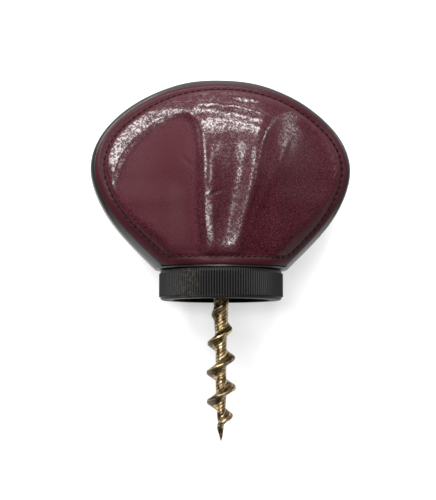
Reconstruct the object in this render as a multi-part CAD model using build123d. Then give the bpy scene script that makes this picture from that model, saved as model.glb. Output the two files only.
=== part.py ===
from build123d import *
import math
import os

# A corkscrew: a fan-shaped handle clad in leather, a ribbed screw collar and a worm.
# The worm axis is Y: the worm points to -Y and the handle to +Y. The leather front faces +Z.
# The origin lies on the worm axis, in the plane of the collar's lower rim. Units are millimetres.

# Driving dimensions
collar_diameter = 41.2
collar_height = 9.8
handle_width = 87.0
handle_height = 63.5
handle_thickness = 43.0
worm_reach = 46.8
worm_diameter = 10.0
worm_pitch = 9.7
thread_diameter = 35.0

# Clearances shared by the pieces
glue_gap = 0.05
turning_gap = 0.1
sliding_gap = 0.08
seam_gap = 0.3
overrun = 2.0
surface_tolerance = 0.03

# Collar
rib_count = 148
rib_depth = 0.42
rib_band_margin = 1.1
collar_edge_fillet = 0.9
lip_bore_diameter = 32.3
lip_height = 1.8
collar_crown_chamfer = 0.3

# Worm carrier and what fastens the worm in it
slip_washer_thickness = 0.5
carrier_thickness = 2.2
carrier_rim_step = 0.3
key_count = 3
key_height = 2.0
key_width = 5.0
key_depth = 2.4
hub_diameter = 13.0
hub_height = 4.4
shank_diameter = 5.0
shank_thread_diameter = 4.0
shank_end_share = 0.25
nut_across_flats = 7.0
nut_height = 2.4
washer_diameter = 9.0
washer_thickness = 0.8
cross_pin_diameter = 1.6
cross_pin_rise = 1.9

# Neck sleeve
sleeve_wall = 8.4
groove_depth = 2.1
groove_width = 2.0
flange_thickness = 2.4
flange_inset = 1.1
flange_flat_inset = 2.0

# Storage tube
tube_bore = 12.0
tube_wall = 1.2
tube_tip_room = 1.5
tube_foot_step = 1.4
tube_foot_height = 2.0

# Handle halves, from the outside inwards
rim_border = 1.5
rim_drop = 0.25
rim_fillet = 1.8
leather_thickness = 1.0
hem_inset = 0.5
rest_flat_sink = 0.65
stitch_margin = 2.4
padding_thickness = 1.2
shell_wall = 2.2
web_thickness = 2.4
web_count = 3
boss_diameter = 7.0
edge_thickness = 6.6
carrier_margin = 0.5
left_flute_depth = 2.9
right_flute_depth = 2.3
centre_flute_depth = 1.2

# Screws and dowels that join the two handle halves
screw_diameter = 2.6
screw_head_diameter = 5.0
screw_head_height = 1.8
screw_length = 11.0
pilot_undersize = 0.05
screw_floor = 1.4
dowel_diameter = 2.5
dowel_length = 7.0
# Places of the screws and dowels: share of half the handle's width, share of its height
screw_places_shares = [(0.56, 0.30), (0.42, 0.66)]
dowel_place_shares = (0.80, 0.52)

# Slope at which the handle's flanks leave the neck, width for height, and how far they run on below
neck_slope = 1.0
flank_run_share = 0.25
# Outline of the handle: share of its height, share of half its width
outline_shares = [
    (0.0, 0.503), (0.129, 0.692), (0.253, 0.846), (0.379, 0.949), (0.547, 1.0),
    (0.673, 0.945), (0.799, 0.800), (0.893, 0.611), (0.956, 0.409), (1.0, 0.0),
]
# Ridge height at the middle of the front, as a share of half the handle's thickness
ridge_shares = [(0.0, 0.955), (0.18, 1.0), (0.45, 1.005), (0.7, 0.99), (1.0, 0.97)]
# How round a cross-section is: 0.5 makes an ellipse, 1 makes a flat lens
roundness_shares = [(0.0, 0.5), (0.2, 0.72), (0.42, 0.92), (1.0, 0.95)]
# How far the edge has grown from the neck's point to its full thickness
edge_shares = [(0.0, 0.0), (0.25, 0.8), (0.5, 1.0), (1.0, 1.0)]
# The two ridges between the flutes: share of the height, share of half the width
left_ridge_shares = [(0.0, -0.10), (0.45, -0.117), (1.0, -0.125)]
right_ridge_shares = [(0.0, 0.09), (0.2, 0.122), (0.5, 0.235), (0.8, 0.34), (1.0, 0.40)]
# Strength of the flutes along the height
flute_shares = [(0.0, 0.0), (0.08, 0.12), (0.3, 0.8), (0.5, 1.0), (0.72, 0.85), (0.9, 0.12), (1.0, 0.0)]
# How steeply a flute's sides rise: 1 makes a sine wave, more makes a flatter bottom edge
flute_power = 1.6
# The top edge is one large arc, and the crown falls towards it over this share of the height
top_arc_share = 0.9
top_fall_share = 0.57
# Grid that the crowned surface is drawn through, and the step that its normals are taken over
grid_rows = 24
grid_columns = 26
slope_step_share = 0.002

# Envelope of the worm: share of its reach from the carrier's face to the tip, share of its radius
envelope_shares = [(0.0, 0.53), (0.2, 0.74), (0.36, 1.08), (0.68, 1.1), (0.82, 0.80), (1.0, 0.03)]
# Cross-section of the flight: half angles of root and crest, as shares of half a turn, and the core
flight_root_share = 0.46
flight_crest_share = 0.09
flight_core_share = 0.355
flank_steps = 4
# Angle in degrees at which the flight starts
flight_turn = 68.7

# Places worked out from the sizes above
base = collar_height + seam_gap
half_width = handle_width / 2
half_thickness = handle_thickness / 2
handle_top = base + handle_height
top_radius = top_arc_share * handle_height
top_centre = handle_top - top_radius
carrier_bottom = lip_height + slip_washer_thickness + glue_gap
carrier_top = carrier_bottom + carrier_thickness
sleeve_bottom = carrier_top + glue_gap
sleeve_radius = thread_diameter / 2
sleeve_bore_radius = sleeve_radius - sleeve_wall
groove_top = base + seam_gap / 2 + groove_width
sleeve_top = groove_top + flange_thickness
flange_radius = sleeve_radius - flange_inset
groove_radius = sleeve_radius - groove_depth
tube_radius = tube_bore / 2 + tube_wall
tube_bottom = sleeve_top - tube_foot_height
tube_end = carrier_top + (worm_reach + carrier_bottom) + tube_tip_room + tube_wall
layer_depth = leather_thickness + glue_gap
padding_depth = layer_depth + padding_thickness
bed_depth = padding_depth + glue_gap
nut_bottom = carrier_top + hub_height + washer_thickness
shank_top = nut_bottom + nut_height + shank_end_share * shank_thread_diameter
rest_height = half_thickness - rest_flat_sink


def along(table, share):
    """Value of a table of shares at one share of the height, on a smooth curve without overshoot."""
    places = [place for place, value in table]
    values = [value for place, value in table]
    share = min(max(share, places[0]), places[-1])
    last = len(places) - 2
    slopes = [(values[i + 1] - values[i]) / (places[i + 1] - places[i]) for i in range(last + 1)]
    turns = [slopes[0]] + [
        0.0 if a * b <= 0 else 2 * a * b / (a + b) for a, b in zip(slopes, slopes[1:])
    ] + [slopes[-1]]
    i = min(sum(1 for place in places[1:-1] if place <= share), last)
    run = places[i + 1] - places[i]
    t = (share - places[i]) / run
    keep = (1 + 2 * t) * (1 - t) ** 2
    return (
        values[i] * keep + values[i + 1] * (1 - keep)
        + run * t * (1 - t) * (turns[i] * (1 - t) - turns[i + 1] * t)
    )


def flute(x, y, side):
    """Depth of the three dished flutes at one place, which the ridges between them part."""
    share = (y - base) / handle_height
    left = along(left_ridge_shares, share) * half_width
    right = along(right_ridge_shares, share) * half_width
    reach = side - edge_thickness / 2
    if x < left:
        depth, t = left_flute_depth, (left - x) / (left + reach)
    elif x < right:
        depth, t = centre_flute_depth, (x - left) / (right - left)
    else:
        depth, t = right_flute_depth, (x - right) / (reach - right)
    if t >= 1:
        return 0.0
    return depth * along(flute_shares, share) * math.sin(math.pi * t) ** flute_power


def crown_point(u, v, sink=0):
    """A point of the crowned front: u runs across from -1 to 1, v from 0 below the base to 1.

    A sink gives the plain crown inside the handle instead, smaller all round and without flutes."""
    y = base - overrun + v * (handle_height + 2 * overrun)
    share = (y - base) / handle_height
    widest = max(outline_shares, key=lambda place: place[1])[0]
    side = half_width * along(outline_shares, min(share, widest)) + carrier_margin
    side += min(share, 0.0) * handle_height - sink
    angle = u * math.pi / 2
    x = side * math.sin(angle)
    edge = edge_thickness / 2 * along(edge_shares, share)
    ridge = half_thickness * along(ridge_shares, share)
    inside = (top_radius - math.hypot(x, y - top_centre)) / (top_fall_share * handle_height)
    fall = 1.0 if inside > 1 else (1 - (1 - inside) ** 2 if inside > 0 else 2 * inside)
    lens = math.cos(angle) ** (2 * along(roundness_shares, share))
    z = edge + (ridge - edge) * lens * fall
    z -= sink if sink else flute(x, y, side)
    return Vector(x, y, z)


def crown_face(depth, sink=0):
    """The crowned surface, set in by a depth along its own normals."""
    step = slope_step_share
    rows = []
    for row in range(grid_rows + 1):
        v = row / grid_rows
        points = []
        for column in range(grid_columns + 1):
            u = 2 * column / grid_columns - 1
            point = crown_point(u, v, sink)
            ahead, behind = min(u + step, 1), max(u - step, -1)
            across = crown_point(ahead, v, sink) - crown_point(behind, v, sink)
            up = crown_point(u, v + step, sink) - crown_point(u, v - step, sink)
            points.append(point - across.cross(up).normalized() * depth)
        rows.append(points)
    return Face.make_surface_from_array_of_points(rows, tol=surface_tolerance)


def under_crown(depth, sink=0):
    """Everything below the crowned surface at a depth."""
    return Solid.extrude(crown_face(depth, sink), Vector(0, 0, -2 * handle_thickness))


def outline_face(inset, foot):
    """The fan's outline, set in by an inset, with its straight foot at the given height."""
    flank, level = Vector(neck_slope, 1).normalized(), Vector(-1, 0)
    places = [Vector(half_width * wide, base + handle_height * high) for high, wide in outline_shares]
    edge = Spline(*places, tangents=[flank, level])
    inwards = [edge.tangent_at(place).rotate(Axis.Z, 90) for place in places]
    places = [place + way * inset for place, way in zip(places, inwards)]
    right = Spline(*places, tangents=[flank, level])
    low = places[0] - flank * flank_run_share * half_width
    left = [mirror(right, Plane.YZ), Line(Vector(-low.X, low.Y), Vector(-places[0].X, places[0].Y))]
    whole = make_face(Curve() + [Line(low, places[0]), right] + left + [Line(Vector(-low.X, low.Y), low)])
    keep = Rectangle(2 * handle_width, 2 * handle_height, align=(Align.CENTER, Align.MIN))
    return whole & Pos(Y=foot) * keep


def half_prism(inset, foot):
    """The part of the fan in front of the seam, as a straight prism."""
    return extrude(outline_face(inset, foot), half_thickness + overrun)


def turned(points):
    """A solid of revolution about the worm axis, from points of (radius, height)."""
    return revolve(make_face(Polyline(*points, close=True)), Axis.Y)


def ring(outer, inner, bottom, top):
    """A plain ring about the worm axis, or a disc when the inner radius is zero."""
    return turned([(inner, bottom), (outer, bottom), (outer, top), (inner, top)])


def across_seam(x, y, radius, low, high):
    """A cylinder square to the seam between the handle halves."""
    return Pos(x, y, low) * Cylinder(radius, high - low, align=(Align.CENTER, Align.CENTER, Align.MIN))


def turned_over(shape):
    """The same shape on the other side of the handle."""
    return Rot(Y=180) * shape


def make_leather():
    panel = half_prism(rim_border + glue_gap, base + hem_inset)
    return (panel & under_crown(0)) - under_crown(leather_thickness)


def make_rear_leather():
    """The rear panel, which its own weight has pressed flat where the tool lies on it."""
    beyond = Box(
        2 * handle_width, 4 * handle_height, half_thickness,
        align=(Align.CENTER, Align.CENTER, Align.MIN),
    )
    return turned_over(make_leather() - Pos(Z=rest_height) * beyond)


def make_padding():
    inset = rim_border + stitch_margin
    panel = half_prism(inset + seam_gap, base + hem_inset + stitch_margin + seam_gap)
    return (panel & under_crown(layer_depth)) - under_crown(padding_depth)


def sleeve_room():
    """The space that the neck sleeve and the storage tube take up in the halves."""
    bore = ring(groove_radius + glue_gap, 0, base - overrun, groove_top + glue_gap)
    pocket = ring(flange_radius + glue_gap, 0, groove_top - glue_gap, sleeve_top + glue_gap)
    flats = Box(2 * (flange_radius - flange_flat_inset + glue_gap), 2 * handle_height, 2 * handle_width)
    tube = ring(tube_radius + glue_gap, 0, base, tube_end + glue_gap)
    return bore + (pocket & flats) + tube


def fixings():
    """Places of the four screws and the two dowels in the seam plane."""
    screws = [
        (sign * wide * half_width, base + high * handle_height)
        for wide, high in screw_places_shares for sign in (-1, 1)
    ]
    wide, high = dowel_place_shares
    dowels = [(sign * wide * half_width, base + high * handle_height) for sign in (-1, 1)]
    return screws, dowels


def hollow_core():
    """The room inside one half, with the neck block, cross webs and bosses left standing."""
    wall = rim_border + stitch_margin + shell_wall
    floor = sleeve_top + shell_wall
    room = half_prism(wall, floor) & under_crown(0, bed_depth + shell_wall + left_flute_depth)
    pitch = (tube_end - floor) / web_count
    for i in range(1, web_count + 1):
        web = Box(2 * handle_width, web_thickness, 2 * handle_width)
        room -= Pos(Y=floor + i * pitch - web_thickness / 2) * web
    screws, dowels = fixings()
    for x, y in screws + dowels:
        room -= across_seam(x, y, boss_diameter / 2, -overrun, half_thickness + overrun)
    return room


def make_half():
    """One moulded half of the handle, as it lies in front of the seam, without its screw holes."""
    half = half_prism(0, base) & under_crown(rim_drop)
    crown = half.faces().filter_by(GeomType.BSPLINE).sort_by(SortBy.AREA)[-1]
    rim = ShapeList(edge for edge in crown.edges() if edge.bounding_box().max.Y > base + overrun)
    half = fillet(rim, rim_fillet)
    bed = half_prism(rim_border, base + hem_inset - glue_gap) - under_crown(layer_depth)
    inset = rim_border + stitch_margin
    pad_bed = half_prism(inset, base + hem_inset + stitch_margin) - under_crown(bed_depth)
    half = half - bed - pad_bed - hollow_core() - sleeve_room()
    dowels = fixings()[1]
    for x, y in dowels:
        half -= across_seam(x, y, dowel_diameter / 2 + glue_gap, -overrun, dowel_length / 2 + glue_gap)
    return half


def screw_seat(x, y):
    """How far from the seam a screw's head sits, below the padding of the rear half."""
    share = (y - base) / handle_height
    side = half_width * along(outline_shares, share) + carrier_margin
    u = math.asin(min(abs(x) / side, 1)) * 2 / math.pi
    v = (y - base + overrun) / (handle_height + 2 * overrun)
    lowest = min(crown_point(sign * u, v).Z for sign in (-1, 1))
    return lowest - bed_depth - screw_head_height - screw_floor


def make_front_shell():
    shell = make_half()
    for x, y in fixings()[0]:
        tip = screw_length - screw_seat(x, y)
        shell -= across_seam(x, y, screw_diameter / 2 - pilot_undersize, -overrun, tip + glue_gap)
    return shell


def make_rear_shell():
    shell = make_half()
    top = half_thickness + overrun
    for x, y in fixings()[0]:
        shell -= across_seam(x, y, screw_diameter / 2 + glue_gap, -overrun, top)
        shell -= across_seam(x, y, screw_head_diameter / 2 + glue_gap, screw_seat(x, y), top)
    return turned_over(shell)


def make_shell_screws():
    group = []
    for x, y in fixings()[0]:
        seat = screw_seat(x, y)
        shank = across_seam(x, y, screw_diameter / 2 - pilot_undersize, seat - screw_length, seat)
        head = across_seam(x, y, screw_head_diameter / 2, seat, seat + screw_head_height)
        group.append(turned_over(shank + head))
    return Compound(children=group)


def make_shell_dowels():
    half = dowel_length / 2
    return Compound(children=[
        across_seam(x, y, dowel_diameter / 2, -half, half) for x, y in fixings()[1]
    ])


def keys(gap):
    """The lugs on the carrier's rim that stop it from turning in the sleeve."""
    outer = sleeve_radius - turning_gap + gap
    block = Box(
        key_depth + 2 * gap, key_height + gap, key_width + 2 * gap,
        align=(Align.MAX, Align.MIN, Align.CENTER),
    )
    lugs = [Rot(Y=i * 360 / key_count) * Pos(outer, carrier_top, 0) * block for i in range(key_count)]
    return Part() + lugs


def make_neck_sleeve():
    sleeve = turned([
        (sleeve_bore_radius, sleeve_bottom), (sleeve_radius, sleeve_bottom),
        (sleeve_radius, collar_height), (groove_radius, collar_height),
        (groove_radius, groove_top), (flange_radius, groove_top),
        (flange_radius, sleeve_top), (sleeve_bore_radius, sleeve_top),
    ])
    flats = Box(2 * (flange_radius - flange_flat_inset), sleeve_top, 2 * handle_width)
    head = ring(sleeve_radius, 0, groove_top, sleeve_top)
    sleeve -= head - Pos(Y=sleeve_top) * flats
    foot_radius = tube_radius + tube_foot_step
    sleeve -= ring(foot_radius + glue_gap, 0, tube_bottom - glue_gap, sleeve_top)
    return sleeve - keys(sliding_gap)


def make_worm_tube():
    foot_radius = tube_radius + tube_foot_step
    return turned([
        (tube_bore / 2, tube_bottom), (foot_radius, tube_bottom),
        (foot_radius, sleeve_top), (tube_radius, sleeve_top),
        (tube_radius, tube_end), (0, tube_end),
        (0, tube_end - tube_wall), (tube_bore / 2, tube_end - tube_wall),
    ])


def make_worm_carrier():
    hub_top = carrier_top + hub_height
    disc = turned([
        (0, carrier_bottom), (sleeve_radius - turning_gap - carrier_rim_step, carrier_bottom),
        (sleeve_radius - turning_gap, carrier_bottom + carrier_rim_step),
        (sleeve_radius - turning_gap, carrier_top), (hub_diameter / 2, carrier_top),
        (hub_diameter / 2, hub_top), (0, hub_top),
    ])
    carrier = disc + (keys(0) & ring(sleeve_radius - turning_gap, 0, carrier_top, sleeve_top))
    carrier -= ring(shank_diameter / 2 + glue_gap, 0, 0, sleeve_top)
    return carrier - cross_pin(glue_gap)


def cross_pin(gap):
    """The pin through the hub and the worm's shank, which stops the worm from turning."""
    pin = Cylinder(cross_pin_diameter / 2 + gap, hub_diameter - 2 * glue_gap + 4 * gap)
    return Pos(Y=carrier_top + cross_pin_rise) * Rot(Y=90) * pin


def make_worm_nut():
    prism = extrude(RegularPolygon(nut_across_flats / 2, 6, major_radius=False), nut_height)
    prism -= extrude(Circle(shank_thread_diameter / 2 + glue_gap), nut_height)
    return Pos(Y=nut_bottom + glue_gap) * Rot(X=-90) * prism


def make_worm_washer():
    seat = carrier_top + hub_height + glue_gap / 2
    return ring(
        washer_diameter / 2, shank_thread_diameter / 2 + glue_gap,
        seat, seat + washer_thickness,
    )


def worm_envelope(start):
    """What the twisted worm is turned down to: thick at the shank and drawn out to a point."""
    reach = worm_reach + start
    side = [Vector(worm_diameter / 2 * wide, start - reach * down) for down, wide in envelope_shares]
    closing = Polyline(side[-1], (0, side[-1].Y), (0, start), side[0])
    return revolve(make_face(Curve() + [Spline(*side), closing]), Axis.Y)


def flight_section():
    """Cross-section of the flight, square to the axis: a round core with one tapering lobe."""
    outer = worm_diameter / 2
    core = outer * flight_core_share
    crest = 180 * flight_crest_share
    root = 180 * flight_root_share

    def at(angle, radius):
        return Vector(radius * math.cos(math.radians(angle)), radius * math.sin(math.radians(angle)))

    def flank(sign):
        places = [crest + (root - crest) * i / flank_steps for i in range(flank_steps + 1)]
        spots = [at(sign * a, outer + (core - outer) * (a - crest) / (root - crest)) for a in places]
        return Spline(*spots)

    tip = ThreePointArc(at(-crest, outer), at(0, outer), at(crest, outer))
    back = ThreePointArc(at(root, core), at(180, core), at(-root, core))
    return make_face(Curve() + [tip, flank(1), back, flank(-1)])


def make_worm():
    start = carrier_bottom
    length = worm_reach + start
    turn = 360 * length / worm_pitch
    section = Rot(Z=flight_turn) * flight_section()
    flight = Solid.extrude_linear_with_rotation(section.face(), (0, 0, 0), Vector(0, 0, -length), turn)
    flight = Pos(Y=start) * Rot(X=-90) * flight
    thread_bottom = carrier_top + hub_height
    shank = turned([
        (0, start), (shank_diameter / 2, start), (shank_diameter / 2, thread_bottom),
        (shank_thread_diameter / 2, thread_bottom), (shank_thread_diameter / 2, shank_top), (0, shank_top),
    ])
    return (flight & worm_envelope(start)) + shank - cross_pin(glue_gap)


def make_slip_washer():
    return ring(
        sleeve_radius, lip_bore_diameter / 2, lip_height + glue_gap / 2,
        lip_height + slip_washer_thickness + glue_gap / 2,
    )


def make_knurled_collar():
    radius = collar_diameter / 2
    root = radius - rib_depth
    bore = sleeve_radius + turning_gap
    body = turned([
        (lip_bore_diameter / 2, 0), (root, 0), (root, collar_height),
        (bore, collar_height), (bore, lip_height), (lip_bore_diameter / 2, lip_height),
    ])
    body = fillet(body.edges().filter_by(GeomType.CIRCLE).group_by(Axis.Y)[0].sort_by(SortBy.RADIUS)[-1:],
                  collar_edge_fillet)
    body = chamfer(body.edges().filter_by(GeomType.CIRCLE).group_by(Axis.Y)[-1].sort_by(SortBy.RADIUS)[-1:],
                   collar_crown_chamfer)
    star = []
    for i in range(2 * rib_count):
        reach = radius if i % 2 else root + glue_gap / 2
        angle = math.pi * i / rib_count
        star.append((reach * math.cos(angle), reach * math.sin(angle)))
    band = make_face(Polyline(*star, close=True)) - Circle((bore + root) / 2)
    band = extrude(band, collar_height - 2 * rib_band_margin)
    return body + Pos(Y=rib_band_margin) * Rot(X=-90) * band


pieces = {
    "front_shell": make_front_shell,
    "rear_shell": make_rear_shell,
    "front_leather": make_leather,
    "rear_leather": make_rear_leather,
    "front_padding": make_padding,
    "rear_padding": lambda: turned_over(make_padding()),
    "shell_screws": make_shell_screws,
    "shell_dowels": make_shell_dowels,
    "neck_sleeve": make_neck_sleeve,
    "worm_tube": make_worm_tube,
    "worm_carrier": make_worm_carrier,
    "worm": make_worm,
    "worm_pin": lambda: cross_pin(0),
    "worm_nut": make_worm_nut,
    "worm_washer": make_worm_washer,
    "slip_washer": make_slip_washer,
    "knurled_collar": make_knurled_collar,
}

os.makedirs("parts", exist_ok=True)
for name, make in pieces.items():
    export_step(make(), f"parts/{name}.step")
    print("made", name)
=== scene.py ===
# %% [markdown]
# # A corkscrew with a leather-clad fan handle
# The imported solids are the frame: they fix where every piece is and how big it is. This script only
# dresses them. Lengths are worked out in millimetres, because that is how the maker thinks of the
# tool, and turned into Blender's metres at the moment that a mesh is made.

# %% Load the frame
import math

import bpy
import numpy as np
from mathutils import Matrix, Vector


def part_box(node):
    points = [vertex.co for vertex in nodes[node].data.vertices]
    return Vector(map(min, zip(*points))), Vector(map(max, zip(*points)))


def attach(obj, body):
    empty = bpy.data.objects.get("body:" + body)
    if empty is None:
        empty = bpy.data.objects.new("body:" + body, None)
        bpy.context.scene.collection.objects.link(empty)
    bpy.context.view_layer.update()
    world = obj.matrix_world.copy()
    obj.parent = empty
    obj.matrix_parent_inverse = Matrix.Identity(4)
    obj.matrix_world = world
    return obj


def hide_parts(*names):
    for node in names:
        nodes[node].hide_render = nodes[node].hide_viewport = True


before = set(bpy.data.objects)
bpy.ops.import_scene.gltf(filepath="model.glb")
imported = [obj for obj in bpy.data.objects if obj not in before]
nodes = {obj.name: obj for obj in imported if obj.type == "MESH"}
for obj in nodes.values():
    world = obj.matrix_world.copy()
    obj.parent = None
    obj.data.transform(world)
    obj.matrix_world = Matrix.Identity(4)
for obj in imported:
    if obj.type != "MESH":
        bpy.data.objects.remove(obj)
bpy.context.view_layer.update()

MM = 0.001
print("solids in the frame:", len(nodes))

# %% [markdown]
# ## The sizes that the dressing follows
# Each size is read from the box of the solid that owns it, so that the leather, the stitches and the
# worm stay in place if the solids change. Only proportions that no box can tell are typed in below.


# %% Sizes read from the frame
def box_mm(node):
    """Lowest and highest corner of a solid, in millimetres."""
    low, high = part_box(node)
    return Vector(low) / MM, Vector(high) / MM


shell_low, shell_high = box_mm("front_shell")
leather_low, leather_high = box_mm("front_leather")
base = shell_low.y
handle_height = shell_high.y - base
half_width = (shell_high.x - shell_low.x) / 2
rim_border = shell_high.x - leather_high.x
hem = leather_low.y
floor_z = box_mm("rear_leather")[0].z
worm_top = box_mm("worm_carrier")[0].y
worm_tip = box_mm("worm")[0].y
print(f"handle {2 * half_width:.1f} by {handle_height:.1f} mm, leather border {rim_border:.2f} mm")

# %% [markdown]
# ## The crowned form of the handle
# The real handle is a fan that grows from a round neck into a flat lens, with three dished flutes
# pressed between two ridges. A subdivided block would need many guide loops to hold that. A height
# formula holds it exactly: one curve for the outline, one for the ridge height, one for how round the
# section is, and the flutes taken off. The solids were drawn with the same shares, so the leather
# mesh lies on them without any fitting.

# %% The sizes and shares that shape the fan
half_thickness = 21.5
edge_half = 3.3
form_margin = 0.5
outline_shares = [
    (0.0, 0.503), (0.129, 0.692), (0.253, 0.846), (0.379, 0.949), (0.547, 1.0),
    (0.673, 0.945), (0.799, 0.800), (0.893, 0.611), (0.956, 0.409), (1.0, 0.0),
]
ridge_shares = [(0.0, 0.955), (0.18, 1.0), (0.45, 1.005), (0.7, 0.99), (1.0, 0.97)]
roundness_shares = [(0.0, 0.5), (0.2, 0.72), (0.42, 0.92), (1.0, 0.95)]
edge_shares = [(0.0, 0.0), (0.25, 0.8), (0.5, 1.0), (1.0, 1.0)]
left_ridge_shares = [(0.0, -0.10), (0.45, -0.117), (1.0, -0.125)]
right_ridge_shares = [(0.0, 0.09), (0.2, 0.122), (0.5, 0.235), (0.8, 0.34), (1.0, 0.40)]
flute_shares = [
    (0.0, 0.0), (0.08, 0.12), (0.3, 0.8), (0.5, 1.0), (0.72, 0.85), (0.9, 0.12), (1.0, 0.0),
]
flute_depths = (2.9, 1.2, 2.3)
flute_roundness = 1.6
top_radius = 0.9 * handle_height
top_centre = base + handle_height - top_radius
top_fall = 0.57 * handle_height


# %% The height of the crown at any place
def along(table, share):
    """Values of a table of shares, on a smooth curve without overshoot."""
    places, values = np.array(table).T
    share = np.clip(share, places[0], places[-1])
    slope = np.diff(values) / np.diff(places)
    before, after = slope[:-1], slope[1:]
    safe = np.where(before * after > 0, before + after, 1.0)
    middle = np.where(before * after > 0, 2 * before * after / safe, 0.0)
    turn = np.concatenate([slope[:1], middle, slope[-1:]])
    i = np.clip(np.searchsorted(places, share, side="right") - 1, 0, len(places) - 2)
    run = places[i + 1] - places[i]
    t = (share - places[i]) / run
    keep = (1 + 2 * t) * (1 - t) ** 2
    bend = run * t * (1 - t) * (turn[i] * (1 - t) - turn[i + 1] * t)
    return values[i] * keep + values[i + 1] * (1 - keep) + bend


def crown(x, y):
    """Height of the leather's face above the seam, in millimetres."""
    share = (y - base) / handle_height
    widest = max(outline_shares, key=lambda place: place[1])[0]
    side = half_width * along(outline_shares, np.minimum(share, widest)) + form_margin
    edge = edge_half * along(edge_shares, share)
    ridge = half_thickness * along(ridge_shares, share)
    inside = np.clip((top_radius - np.hypot(x, y - top_centre)) / top_fall, -0.2, 1)
    fall = np.where(inside > 0, 1 - (1 - inside) ** 2, 2 * inside)
    lens = np.clip(1 - (x / side) ** 2, 1e-4, 1) ** along(roundness_shares, share)
    left = along(left_ridge_shares, share) * half_width
    right = along(right_ridge_shares, share) * half_width
    reach = side - edge_half
    pieces = (
        (x < left, flute_depths[0], (left - x) / (left + reach)),
        ((x >= left) & (x < right), flute_depths[1], (x - left) / (right - left)),
        (x >= right, flute_depths[2], (x - right) / (reach - right)),
    )
    dish = np.zeros_like(x)
    for where, depth, t in pieces:
        dish += where * depth * np.sin(np.pi * np.clip(t, 0, 1)) ** flute_roundness
    return edge + (ridge - edge) * lens * fall - dish * along(flute_shares, share)


print("crown at the middle:", round(float(crown(np.array([0.0]), np.array([40.0]))[0]), 2), "mm")

# %% [markdown]
# ## The outline that the leather and its seam follow
# A spline runs through the outline's points with a sloping start at the neck and a level end at the
# top, as a draughtsman would bend a batten. Insetting it point by point along its normals gives the
# cut edge of the leather and the line of stitches, parallel to the rim.


# %% Outline curves
def batten(points, start, end, steps=60):
    """Cubic curve through points, with its direction given at both ends, as many short steps."""
    points = np.array(points, float)
    run = np.linalg.norm(np.diff(points, axis=0), axis=1)
    count = len(points)
    system = np.zeros((count, count))
    right_side = np.zeros((count, 2))
    system[0, 0] = system[-1, -1] = 1
    right_side[0], right_side[-1] = start, end
    for i in range(1, count - 1):
        system[i, i - 1: i + 2] = run[i], 2 * (run[i - 1] + run[i]), run[i - 1]
        rise = (points[i + 1] - points[i]) / run[i] * run[i - 1]
        right_side[i] = 3 * (rise + (points[i] - points[i - 1]) / run[i - 1] * run[i])
    slopes = np.linalg.solve(system, right_side)
    t = np.linspace(0, 1, steps, endpoint=False)[:, None]
    spans = []
    for i in range(count - 1):
        a, b = points[i], points[i + 1]
        lean = run[i] * (slopes[i] * t * (1 - t) ** 2 - slopes[i + 1] * t ** 2 * (1 - t))
        spans.append(a + (b - a) * (3 * t ** 2 - 2 * t ** 3) + lean)
    return np.vstack(spans + [points[-1:]])


def normals_of(line):
    """Unit normals to the left of an open line."""
    way = np.gradient(line, axis=0)
    way /= np.linalg.norm(way, axis=1)[:, None]
    return np.stack([-way[:, 1], way[:, 0]], 1)


places = [(half_width * wide, base + handle_height * high) for high, wide in outline_shares]
right_edge = batten(places, (math.sqrt(0.5), math.sqrt(0.5)), (-1, 0))
arch = np.vstack([right_edge, right_edge[-2::-1] * (-1, 1)])
arch_normals = normals_of(arch)


def fan_loop(inset, foot, count, corner=1.4):
    """Closed loop inset from the rim, with a straight foot and softly rounded corners."""
    line = arch + arch_normals * np.reshape(inset, (-1, 1))
    line = line[line[:, 1] > foot]
    ends = [np.array([line[-1, 0], foot]), np.array([line[0, 0], foot])]
    loop = np.vstack([line, ends, line[:1]])
    loop = resample(loop, 4 * count)
    reach = max(int(corner * 4 * count / path_length(loop)), 1)
    near_foot = np.abs(loop[:, 1] - foot) < 3 * corner
    soft = sum(np.roll(loop, k, axis=0) for k in range(-reach, reach + 1)) / (2 * reach + 1)
    loop = np.where(near_foot[:, None], soft, loop)
    return resample(np.vstack([loop, loop[:1]]), count)


def path_length(line):
    """Length of a line of points."""
    return float(np.linalg.norm(np.diff(line, axis=0), axis=1).sum())


def resample(line, count):
    """The same path in even steps, without repeating its first point."""
    walk = np.concatenate([[0], np.cumsum(np.linalg.norm(np.diff(line, axis=0), axis=1))])
    at = np.linspace(0, walk[-1], count, endpoint=False)
    return np.stack([np.interp(at, walk, line[:, i]) for i in range(line.shape[1])], 1)


# %% [markdown]
# ## Meshes from rings
# Every dressed piece here is a stack of rings: the leather panel, a stitch, the worm. One helper turns
# rings of points into a closed, smooth mesh. It is written with numpy because the leather alone has
# some fifty thousand points.


# %% Ring mesh helper
def grid_faces(rows, columns, start=0):
    """Faces between closed rings that follow each other."""
    i = np.arange(rows - 1)[:, None] * columns
    j = np.arange(columns)[None, :]
    k = (j + 1) % columns
    quads = np.stack([i + j, i + k, i + columns + k, i + columns + j], -1)
    return quads.reshape(-1, 4) + start


def new_mesh(name, points_mm, faces, material, body):
    """A smooth mesh object from points in millimetres, riding on a body."""
    mesh = bpy.data.meshes.new(name)
    mesh.from_pydata((np.asarray(points_mm) * MM).tolist(), [], [list(map(int, f)) for f in faces])
    mesh.validate()
    mesh.polygons.foreach_set("use_smooth", [True] * len(mesh.polygons))
    mesh.materials.append(material)
    piece = bpy.data.objects.new(name, mesh)
    bpy.context.scene.collection.objects.link(piece)
    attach(piece, body)
    return piece


# %% [markdown]
# ## Shader building blocks
# A material is a graph. Small helpers keep the graphs readable: each adds one node, sets its values,
# links what it is given and hands on the result. Effects that several finishes share are node groups
# with named inputs, so that each finish sets its own scale and strength.


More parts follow.
